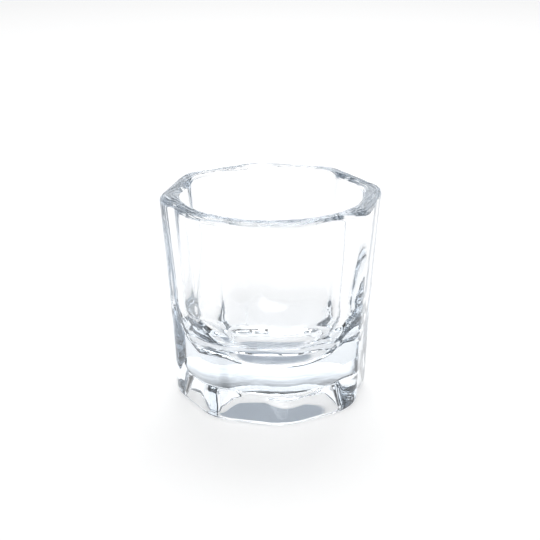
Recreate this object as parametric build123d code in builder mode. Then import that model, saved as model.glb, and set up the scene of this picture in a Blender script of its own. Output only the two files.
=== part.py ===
"""Octagonal pressed-glass nail cup (dappen cup): one piece of clear glass.

Millimetres, +Z up.  The cup stands on z = 0 with its axis on Z, and its eight
flat faces look along +X, +Y, -X, -Y and halfway between them.
"""

import math
import os

from build123d import *

os.makedirs("parts", exist_ok=True)

# ---- driving dimensions -----------------------------------------------------
CUP_HEIGHT = 30.0
FOOT_HALF_FLATS = 13.3      # half the width across the flats, at the foot
RIM_HALF_FLATS = 14.85      # the same at the rim: the cup flares a little
CORNER_RADIUS = 4.4         # soft vertical edges, where they start at the foot
FOOT_FILLET = 0.9           # rounded edge the faces end in at the bottom

WELL_RIM_HALF = 12.7        # the well is round at the rim
WELL_RIM_CORNER = 12.2
WELL_LOW_HALF = 10.3        # and a soft octagon where its sides meet the floor
WELL_LOW_CORNER = 7.0
WELL_FLOOR_HEIGHT = 6.2
WELL_FLOOR_FILLET = 6.5     # large rounding between the sides and the floor

RIM_OUTER_FILLET = 0.9      # fire-polished rim
RIM_INNER_FILLET = 0.8

RECESS_DEPTH = 3.8          # recess under the base, with eight flat sides
RECESS_LOW_HALF = 10.3      # crisp corners at the foot
RECESS_LOW_CORNER = 1.4
RECESS_TOP_HALF = 8.8       # and wide rounded ones at the ceiling
RECESS_TOP_CORNER = 6.0

HALF_FACE_ANGLE = 22.5      # from a face's middle to its edge

# ---- derived ----------------------------------------------------------------
WALL_TAPER = math.degrees(math.atan((RIM_HALF_FLATS - FOOT_HALF_FLATS) / CUP_HEIGHT))

with BuildPart() as glass_cup:
    # Outside: a rounded octagon that grows towards the rim.
    with BuildSketch(Plane.XY):
        RegularPolygon(FOOT_HALF_FLATS, 8, major_radius=False, rotation=HALF_FACE_ANGLE)
        outer_corners = vertices()
        fillet(outer_corners, radius=CORNER_RADIUS)
    extrude(amount=CUP_HEIGHT, taper=-WALL_TAPER)
    foot_edges = edges().group_by(Axis.Z)[0]
    rim_edges = edges().group_by(Axis.Z)[-1]
    fillet(rim_edges, radius=RIM_OUTER_FILLET)
    fillet(foot_edges, radius=FOOT_FILLET)

    # Inside: a well that turns from round at the rim to a soft octagon.
    with BuildPart(mode=Mode.PRIVATE) as well:
        with BuildSketch(Plane.XY.offset(WELL_FLOOR_HEIGHT)):
            RegularPolygon(WELL_LOW_HALF, 8, major_radius=False, rotation=HALF_FACE_ANGLE)
            low_corners = vertices()
            fillet(low_corners, radius=WELL_LOW_CORNER)
        with BuildSketch(Plane.XY.offset(CUP_HEIGHT)):
            RegularPolygon(WELL_RIM_HALF, 8, major_radius=False, rotation=HALF_FACE_ANGLE)
            rim_corners = vertices()
            fillet(rim_corners, radius=WELL_RIM_CORNER)
        loft(ruled=True)
        floor_edges = edges().group_by(Axis.Z)[0]
        fillet(floor_edges, radius=WELL_FLOOR_FILLET)
    add(well.part, mode=Mode.SUBTRACT)
    lip_edges = faces().sort_by(Axis.Z)[-1].inner_wires()[0].edges()
    fillet(lip_edges, radius=RIM_INNER_FILLET)

    # Underside: a recess with eight flat sides and corners that widen upwards.
    with BuildSketch(Plane.XY):
        RegularPolygon(RECESS_LOW_HALF, 8, major_radius=False, rotation=HALF_FACE_ANGLE)
        foot_corners = vertices()
        fillet(foot_corners, radius=RECESS_LOW_CORNER)
    with BuildSketch(Plane.XY.offset(RECESS_DEPTH)):
        RegularPolygon(RECESS_TOP_HALF, 8, major_radius=False, rotation=HALF_FACE_ANGLE)
        ceiling_corners = vertices()
        fillet(ceiling_corners, radius=RECESS_TOP_CORNER)
    loft(ruled=True, mode=Mode.SUBTRACT)

glass_cup.part.label = "glass_cup"
export_step(glass_cup.part, "parts/glass_cup.step")
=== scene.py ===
"""Octagonal pressed-glass nail cup on a pale studio floor.

The cup is one closed glass body, made ring by ring from its section and its outline.
Lengths in the constants are millimetres, unless a comment says otherwise; Blender and
the frame work in metres.
"""
import math

import bpy
import numpy as np
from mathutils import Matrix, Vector


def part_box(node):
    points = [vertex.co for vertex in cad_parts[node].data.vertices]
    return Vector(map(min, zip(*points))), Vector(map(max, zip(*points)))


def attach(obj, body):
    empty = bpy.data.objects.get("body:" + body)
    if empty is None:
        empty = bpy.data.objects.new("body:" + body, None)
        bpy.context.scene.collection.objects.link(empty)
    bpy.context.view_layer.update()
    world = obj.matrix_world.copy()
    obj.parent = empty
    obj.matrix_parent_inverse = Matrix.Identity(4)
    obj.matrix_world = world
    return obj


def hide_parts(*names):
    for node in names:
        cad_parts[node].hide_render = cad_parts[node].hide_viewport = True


MM = 0.001
HALF_FACE = math.pi / 8   # angle from a face's middle to its corner
MIX_FACTOR, MIX_A, MIX_B, MIX_RESULT = 0, 6, 7, 2  # sockets of a colour Mix node

# ---- outside ----
RIM_HALF = 14.85          # half the width across the flats, at the rim
FOOT_HALF = 13.25         # the same at the foot
FLARE_SHARE = 0.45        # part of the growth that comes late, towards the rim
RIM_CORNER = 4.6          # radius of the soft upright edges, at the rim and the foot
FOOT_CORNER = 6.5
FOOT_ROUND = 1.3          # rounding below the faces

# ---- fire-polished rim ----
RIM_OUT = 0.9             # rounding, outside and inside
RIM_IN = 0.9
RIDGE_HEIGHT = 0.08       # fine ridges that run round the rim
RIDGE_PITCH = 0.75
RIDGE_FINE = 0.4          # a second, finer wave: its height against the first
RIDGE_FINE_RATE = 2.5     # and how many of it there are to one of the first
RIDGE_DRIFT = 5.0         # how far their phase wanders on the way round, in radians
RIDGE_WANDER = [(1.0, 2, 0.6), (0.6, 5, 2.1), (0.3, 11, 0.0)]  # share, waves round, phase
RIDGE_SWELL = (0.65, 0.35, 3, 1.0)  # mean height, its swing, waves round, phase

# ---- well ----
WELL_TOP = 12.7           # half widths across the flats, at the rim and the lowest point
WELL_TOP_CORNER = 12.0
WELL_LOW = 10.0
WELL_LOW_CORNER = 6.5
WELL_CORNER_LATE = 3.0    # power: the corners open mostly near the rim
BOWL_Z = 6.2              # lowest point of the bowl that ends the well
BOWL_DEPTH = 9.5
BOWL_POWER = 2.3          # 2 is an ellipse, more is flatter in the middle
BOWL_CORNER_FADE = 3      # power: the corners fade out quickly down the bowl

# ---- recess under the base ----
RECESS_Z = 3.8
RECESS_LOW = 10.3         # half widths across the flats, at the foot and the ceiling
RECESS_TOP = 8.8
RECESS_LOW_CORNER = 1.8
RECESS_TOP_CORNER = 6.0
RECESS_ROUND = 0.2        # rounding between the sides and the ceiling
RECESS_EDGE = 0.3         # rounding between the sides and the foot
RECESS_DOME = 0.15
CEILING_CORNER_LATE = 8   # power: the ceiling's rings turn octagonal near its edge

# ---- mesh ----
PER_FACE = 56             # points along each of the eight faces
CENTRE = 1e-3             # radius of the smallest ring
CEILING_RINGS = 40        # rings in each stretch of the section
SMALL_ROUND_RINGS = 5
RECESS_SIDE_RINGS = 8
FOOT_RINGS = 3
FOOT_ROUND_RINGS = 8
OUTSIDE_RINGS = 25
RIM_ROUND_RINGS = 23
RIM_TOP_RINGS = 13
WELL_SIDE_RINGS = 30
BOWL_RINGS = 32

# ---- glass ----
IOR = 1.52
TINT = (0.80, 0.90, 1.0)
TINT_DENSITY = 20.0             # per metre
ROUGH_CLEAN = 0.0
ROUGH_WORN = 0.02
SMUDGE_SCALE = (260, 260, 180)  # per metre
SMUDGE_FROM = 0.45              # noise level where a smudge starts
SMUDGE_FULL = 0.75
SMUDGE_DETAIL = 3.0
DRAG_SCALE = (420, 420, 40)     # upright streaks, per metre
DRAG_DETAIL = 2.0
DRAG_BUMP = 0.02

# ---- studio ----
SKY = [(0.0, 0.9), (0.4, 1.0), (0.52, 0.25), (0.62, 0.0), (1.0, 0.0)]  # direction's Z, brightness
SKY_TONE = (0.96, 0.98, 1.0)
SKY_STRENGTH = 1.3        # behind the cup
FRONT_STRENGTH = 0.2      # the camera's side is dim, so that the glass has dark edges
FRONT_FROM = 0.05         # the two sides blend between these values of the direction's Y
FRONT_TO = 0.6
FLOOR_REACH = 2500.0      # half the floor's width
FLOOR_DROP = 0.03         # gap under the cup, so that glass and floor never share a face
FLOOR_ALBEDO = 0.8
FLOOR_GLOW = 0.72
SHADE_X = 0.7             # contact shade painted into the floor's colour, hidden under the cup and seen only through it
SHADE_Y = -5.0
SHADE_FROM = 6.5          # radii between which the shade fades out
SHADE_TO = 8.0
SHADE_COLOUR = (0.36, 0.40, 0.45)
LAMP_SIZE = 300.0
LAMP_DISTANCE = 500.0
LAMPS = [(100, 60, 0.85), (280, 70, 0.6)]  # turn and rise in degrees, power in watts
MAX_BOUNCES = 24
GLOSSY_BOUNCES = 12

# ---- camera ----
FRONT = -90.0             # turn of straight in front of a face, in degrees
CAM_TURN = 13.6           # how far the camera has gone round from there, in degrees
CAM_ELEVATION = 21.0
CAM_DISTANCE = 180.0
CAM_SCALE = 209.0         # frame pixels per cup height, at the cup
CAM_AIM = (271.5, 291.0)  # where the cup's middle falls in the frame
FRAME_WIDTH = 540
SENSOR = 36.0
CLIP_START = 5.0


def octagon(phi, half, corner):
    """Radius at angle phi of a rounded octagon whose faces look along +X, +Y and between."""
    from_corner = np.abs(phi % (2 * HALF_FACE) - HALF_FACE)
    from_face = HALF_FACE - from_corner
    centre = (half - corner) / math.cos(HALF_FACE)
    flat = half / np.cos(from_face)
    reach = np.maximum(corner ** 2 - (centre * np.sin(from_corner)) ** 2, 0)
    arc = centre * np.cos(from_corner) + np.sqrt(reach)
    on_flat = np.tan(from_face) <= (half - corner) * math.tan(HALF_FACE) / half
    return np.where(on_flat, flat, arc)


def between(low, high, t):
    return low + (high - low) * t


def span(steps):
    """Even steps from just after 0 up to 1."""
    return np.linspace(0, 1, steps + 1)[1:]


def quarter(steps):
    """Even angles from just after 0 up to a quarter turn."""
    return span(steps) * math.pi / 2


def glass_rings(height):
    """The cup's rings, from the recess over the foot and the rim to the well's lowest point."""
    phi = (np.arange(8 * PER_FACE) + 0.5) / (8 * PER_FACE) * 2 * math.pi
    rings = []

    def ring(radius, z):
        z = np.broadcast_to(z, phi.shape)
        rings.append(np.stack([radius * np.cos(phi), radius * np.sin(phi), z], 1))

    def outside(z):
        t = z / height
        half = between(FOOT_HALF, RIM_HALF, between(t, t * t, FLARE_SHARE))
        return octagon(phi, half, between(FOOT_CORNER, RIM_CORNER, t))

    def inside(z):
        t = np.clip((z - BOWL_Z) / (height - BOWL_Z), 0, 1)
        corner = between(WELL_LOW_CORNER, WELL_TOP_CORNER, t ** WELL_CORNER_LATE)
        return octagon(phi, between(WELL_LOW, WELL_TOP, t), corner)

    def recess(z):
        t = z / RECESS_Z
        corner = between(RECESS_LOW_CORNER, RECESS_TOP_CORNER, t)
        return octagon(phi, between(RECESS_LOW, RECESS_TOP, t), corner)

    # recess: ceiling, sides and the edge of the foot
    ceiling = recess(RECESS_Z) - RECESS_ROUND
    inner = ceiling.min()
    for t in np.linspace(0, 1, CEILING_RINGS):
        radius = inner * t + (ceiling - inner) * t ** CEILING_CORNER_LATE
        dome = RECESS_DOME * np.clip(1 - (radius / inner) ** 2, 0, 1)
        ring(np.maximum(radius, CENTRE), RECESS_Z + dome)
    for a in quarter(SMALL_ROUND_RINGS):
        ring(ceiling + RECESS_ROUND * math.sin(a), RECESS_Z - RECESS_ROUND * (1 - math.cos(a)))
    for t in span(RECESS_SIDE_RINGS):
        z = between(RECESS_Z - RECESS_ROUND, RECESS_EDGE, t)
        ring(recess(z), z)
    for a in quarter(SMALL_ROUND_RINGS):
        z = RECESS_EDGE * (1 - math.sin(a))
        ring(recess(RECESS_EDGE) + RECESS_EDGE * (1 - math.cos(a)), z)

    # foot and outside
    inner_foot = recess(RECESS_EDGE) + RECESS_EDGE
    outer_foot = outside(0.0) - FOOT_ROUND
    for t in span(FOOT_RINGS):
        ring(between(inner_foot, outer_foot, t), 0.0)
    for a in quarter(FOOT_ROUND_RINGS):
        z = FOOT_ROUND * (1 - math.cos(a))
        ring(outside(z) - FOOT_ROUND * (1 - math.sin(a)), z)
    for t in span(OUTSIDE_RINGS):
        z = between(FOOT_ROUND, height - RIM_OUT, t)
        ring(outside(z), z)

    # rim
    crest_out = outside(height) - RIM_OUT
    crest_in = inside(height) + RIM_IN
    crest = crest_out - crest_in
    rim_run = (RIM_OUT + RIM_IN) * math.pi / 2 + crest
    waves = [share * np.sin(count * phi + phase) for share, count, phase in RIDGE_WANDER]
    wander = RIDGE_DRIFT * sum(waves)
    mean, swing, count, phase = RIDGE_SWELL
    swell = mean + swing * np.sin(count * phi + phase)

    def rim_ring(radius, z, lean, along):
        """A ring of the rim with its ridges; lean is the angle of its normal from straight out.

        The ridges only push inwards, so the rim stays within its own outline.
        """
        turns = 2 * math.pi * along / RIDGE_PITCH
        ridge = np.sin(turns + wander) + RIDGE_FINE * np.sin(RIDGE_FINE_RATE * turns)
        fade = np.clip(along / RIM_OUT, 0, 1) * np.clip((rim_run - along) / RIM_IN, 0, 1)
        push = RIDGE_HEIGHT * (ridge - 1 - RIDGE_FINE) * swell * fade
        ring(radius + push * math.cos(lean), z + push * math.sin(lean))

    for a in quarter(RIM_ROUND_RINGS):
        z = height - RIM_OUT * (1 - math.sin(a))
        rim_ring(outside(z) - RIM_OUT * (1 - math.cos(a)), z, a, RIM_OUT * a)
    for t in span(RIM_TOP_RINGS):
        rim_ring(crest_out - crest * t, height, math.pi / 2, RIM_OUT * math.pi / 2 + crest * t)
    for a in quarter(RIM_ROUND_RINGS):
        z = height - RIM_IN * (1 - math.cos(a))
        along = RIM_OUT * math.pi / 2 + crest + RIM_IN * a
        rim_ring(inside(z) + RIM_IN * (1 - math.sin(a)), z, math.pi / 2 + a, along)

    # well: sides and bowl
    bowl_top = BOWL_Z + BOWL_DEPTH
    for t in span(WELL_SIDE_RINGS):
        z = between(height - RIM_IN, bowl_top, t)
        ring(inside(z), z)
    low = inside(bowl_top)
    for a in quarter(BOWL_RINGS):
        across = math.cos(a) ** (2 / BOWL_POWER)
        down = math.sin(a) ** (2 / BOWL_POWER)
        radius = low.min() * across + (low - low.min()) * across ** BOWL_CORNER_FADE
        ring(np.maximum(radius, CENTRE), bowl_top - BOWL_DEPTH * down)
    return rings


def closed_body(name, rings):
    """A closed mesh from rings of equal length, capped at both ends."""
    count = len(rings[0])
    verts = np.concatenate(rings) * MM
    faces = []
    for i in range(len(rings) - 1):
        for j in range(count):
            k = (j + 1) % count
            faces.append((i * count + j, i * count + k, (i + 1) * count + k, (i + 1) * count + j))
    last = (len(rings) - 1) * count
    faces.append(tuple(reversed(range(count))))
    faces.append(tuple(last + j for j in range(count)))
    mesh = bpy.data.meshes.new(name)
    mesh.from_pydata(verts.tolist(), [], faces)
    mesh.update()
    mesh.shade_smooth()
    obj = bpy.data.objects.new(name, mesh)
    bpy.context.scene.collection.objects.link(obj)
    return obj


def glass_material():
    """Clear, faintly blue glass with upright drag streaks and a few dull smudges."""
    mat = bpy.data.materials.new("pressed_glass")
    mat.use_nodes = True
    nodes, links = mat.node_tree.nodes, mat.node_tree.links
    shader = nodes["Principled BSDF"]
    shader.inputs["Base Color"].default_value = (1, 1, 1, 1)
    shader.inputs["Transmission Weight"].default_value = 1.0
    shader.inputs["IOR"].default_value = IOR
    where = nodes.new("ShaderNodeTexCoord")

    def noise(scale, detail):
        mapping = nodes.new("ShaderNodeMapping")
        mapping.inputs["Scale"].default_value = scale
        links.new(where.outputs["Object"], mapping.inputs["Vector"])
        node = nodes.new("ShaderNodeTexNoise")
        node.inputs["Scale"].default_value = 1.0
        node.inputs["Detail"].default_value = detail
        links.new(mapping.outputs[0], node.inputs["Vector"])
        return node.outputs["Fac"]

    drag = nodes.new("ShaderNodeBump")
    drag.inputs["Distance"].default_value = DRAG_BUMP * MM
    drag.inputs["Strength"].default_value = 1.0
    links.new(noise(DRAG_SCALE, DRAG_DETAIL), drag.inputs["Height"])
    links.new(drag.outputs[0], shader.inputs["Normal"])

    smudge = nodes.new("ShaderNodeMapRange")
    smudge.inputs["From Min"].default_value = SMUDGE_FROM
    smudge.inputs["From Max"].default_value = SMUDGE_FULL
    smudge.inputs["To Min"].default_value = ROUGH_CLEAN
    smudge.inputs["To Max"].default_value = ROUGH_WORN
    links.new(noise(SMUDGE_SCALE, SMUDGE_DETAIL), smudge.inputs["Value"])
    links.new(smudge.outputs[0], shader.inputs["Roughness"])

    tint = nodes.new("ShaderNodeVolumeAbsorption")
    tint.inputs["Color"].default_value = (*TINT, 1)
    tint.inputs["Density"].default_value = TINT_DENSITY
    links.new(tint.outputs[0], nodes["Material Output"].inputs["Volume"])
    return mat


def floor():
    """A pale floor that glows a little, with a contact shade painted into its colour under the cup.
    """
    edge = FLOOR_REACH * MM
    mesh = bpy.data.meshes.new("floor")
    corners = [(-edge, -edge, 0), (edge, -edge, 0), (edge, edge, 0), (-edge, edge, 0)]
    mesh.from_pydata(corners, [], [(0, 1, 2, 3)])
    obj = bpy.data.objects.new("floor", mesh)
    obj.location.z = -FLOOR_DROP * MM
    bpy.context.scene.collection.objects.link(obj)

    mat = bpy.data.materials.new("floor")
    mat.use_nodes = True
    nodes, links = mat.node_tree.nodes, mat.node_tree.links
    shader = nodes["Principled BSDF"]
    where = nodes.new("ShaderNodeTexCoord")
    reach = nodes.new("ShaderNodeVectorMath")
    reach.operation = "DISTANCE"
    reach.inputs[1].default_value = (SHADE_X * MM, SHADE_Y * MM, 0)
    links.new(where.outputs["Object"], reach.inputs[0])
    shade = nodes.new("ShaderNodeMapRange")
    shade.interpolation_type = "SMOOTHSTEP"
    shade.inputs["From Min"].default_value = SHADE_FROM * MM
    shade.inputs["From Max"].default_value = SHADE_TO * MM
    links.new(reach.outputs["Value"], shade.inputs["Value"])
    # painted contact shade: the floor's colour and glow turn darker in a disc under the cup
    colour = nodes.new("ShaderNodeMix")
    colour.data_type = "RGBA"
    colour.inputs[MIX_A].default_value = (*SHADE_COLOUR, 1)
    colour.inputs[MIX_B].default_value = (FLOOR_ALBEDO, FLOOR_ALBEDO, FLOOR_ALBEDO, 1)
    links.new(shade.outputs[0], colour.inputs[MIX_FACTOR])
    links.new(colour.outputs[MIX_RESULT], shader.inputs["Base Color"])
    links.new(colour.outputs[MIX_RESULT], shader.inputs["Emission Color"])
    shader.inputs["Emission Strength"].default_value = FLOOR_GLOW
    shader.inputs["Roughness"].default_value = 1.0
    shader.inputs["Specular IOR Level"].default_value = 0.0
    mesh.materials.append(mat)


def sky():
    """A pale surround behind the cup, dark overhead and dim on the camera's side."""
    world = bpy.data.worlds.new("studio")
    bpy.context.scene.world = world
    world.use_nodes = True
    nodes, links = world.node_tree.nodes, world.node_tree.links
    nodes.clear()
    coord = nodes.new("ShaderNodeTexCoord")
    split = nodes.new("ShaderNodeSeparateXYZ")
    ramp = nodes.new("ShaderNodeValToRGB")
    side = nodes.new("ShaderNodeMapRange")
    back = nodes.new("ShaderNodeBackground")
    out = nodes.new("ShaderNodeOutputWorld")
    side.interpolation_type = "SMOOTHSTEP"
    side.inputs["From Min"].default_value = FRONT_FROM
    side.inputs["From Max"].default_value = FRONT_TO
    side.inputs["To Min"].default_value = FRONT_STRENGTH
    side.inputs["To Max"].default_value = SKY_STRENGTH
    links.new(coord.outputs["Generated"], split.inputs[0])
    links.new(split.outputs["Z"], ramp.inputs[0])
    links.new(split.outputs["Y"], side.inputs["Value"])
    links.new(ramp.outputs[0], back.inputs[0])
    links.new(side.outputs[0], back.inputs[1])
    links.new(back.outputs[0], out.inputs[0])
    stops = ramp.color_ramp.elements
    while len(stops) < len(SKY):
        stops.new(0.5)
    for stop, (place, value) in zip(stops, SKY):
        stop.position = place
        stop.color = (*(value * tone for tone in SKY_TONE), 1)


def direction(turn, rise):
    """Unit vector at a turn about +Z from +X and a rise above level, both in degrees."""
    turn, rise = math.radians(turn), math.radians(rise)
    return Vector((math.cos(turn) * math.cos(rise), math.sin(turn) * math.cos(rise), math.sin(rise)))


def lamps():
    """Round softboxes above the cup, aimed at it."""
    for number, (turn, rise, power) in enumerate(LAMPS):
        away = direction(turn, rise)
        name = "softbox_%d" % number
        light = bpy.data.lights.new(name, "AREA")
        light.shape = "DISK"
        light.size = LAMP_SIZE * MM
        light.energy = power
        obj = bpy.data.objects.new(name, light)
        obj.location = away * LAMP_DISTANCE * MM
        obj.rotation_euler = away.to_track_quat("Z", "Y").to_euler()
        bpy.context.scene.collection.objects.link(obj)


def camera(height):
    """The camera, aimed at the cup's middle and shifted until it falls where CAM_AIM says."""
    cam = bpy.data.cameras.new("camera")
    obj = bpy.data.objects.new("camera", cam)
    bpy.context.scene.collection.objects.link(obj)
    bpy.context.scene.camera = obj
    back = direction(FRONT + CAM_TURN, CAM_ELEVATION)
    obj.location = Vector((0, 0, height / 2 * MM)) + back * CAM_DISTANCE * MM
    obj.rotation_euler = (-back).to_track_quat("-Z", "Y").to_euler()
    cam.sensor_width = SENSOR
    cam.lens = SENSOR * CAM_SCALE * (CAM_DISTANCE / height) / FRAME_WIDTH
    cam.shift_x = (FRAME_WIDTH / 2 - CAM_AIM[0]) / FRAME_WIDTH
    cam.shift_y = (CAM_AIM[1] - FRAME_WIDTH / 2) / FRAME_WIDTH
    cam.clip_start = CLIP_START * MM


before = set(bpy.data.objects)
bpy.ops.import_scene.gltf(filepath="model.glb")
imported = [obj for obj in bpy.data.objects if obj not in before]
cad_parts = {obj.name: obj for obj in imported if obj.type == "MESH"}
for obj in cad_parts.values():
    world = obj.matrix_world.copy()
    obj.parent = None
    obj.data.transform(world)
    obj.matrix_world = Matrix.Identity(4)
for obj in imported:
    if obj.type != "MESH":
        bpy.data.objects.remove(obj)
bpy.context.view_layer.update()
low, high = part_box("glass_cup")
cup_height = (high[2] - low[2]) / MM

cup = closed_body("cup_glass", glass_rings(cup_height))
cup.data.materials.append(glass_material())
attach(cup, "root")
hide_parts("glass_cup")

floor()
sky()
lamps()
camera(cup_height)

scene = bpy.context.scene
scene.view_settings.view_transform = "Standard"
scene.cycles.max_bounces = MAX_BOUNCES
scene.cycles.transmission_bounces = MAX_BOUNCES
scene.cycles.glossy_bounces = GLOSSY_BOUNCES
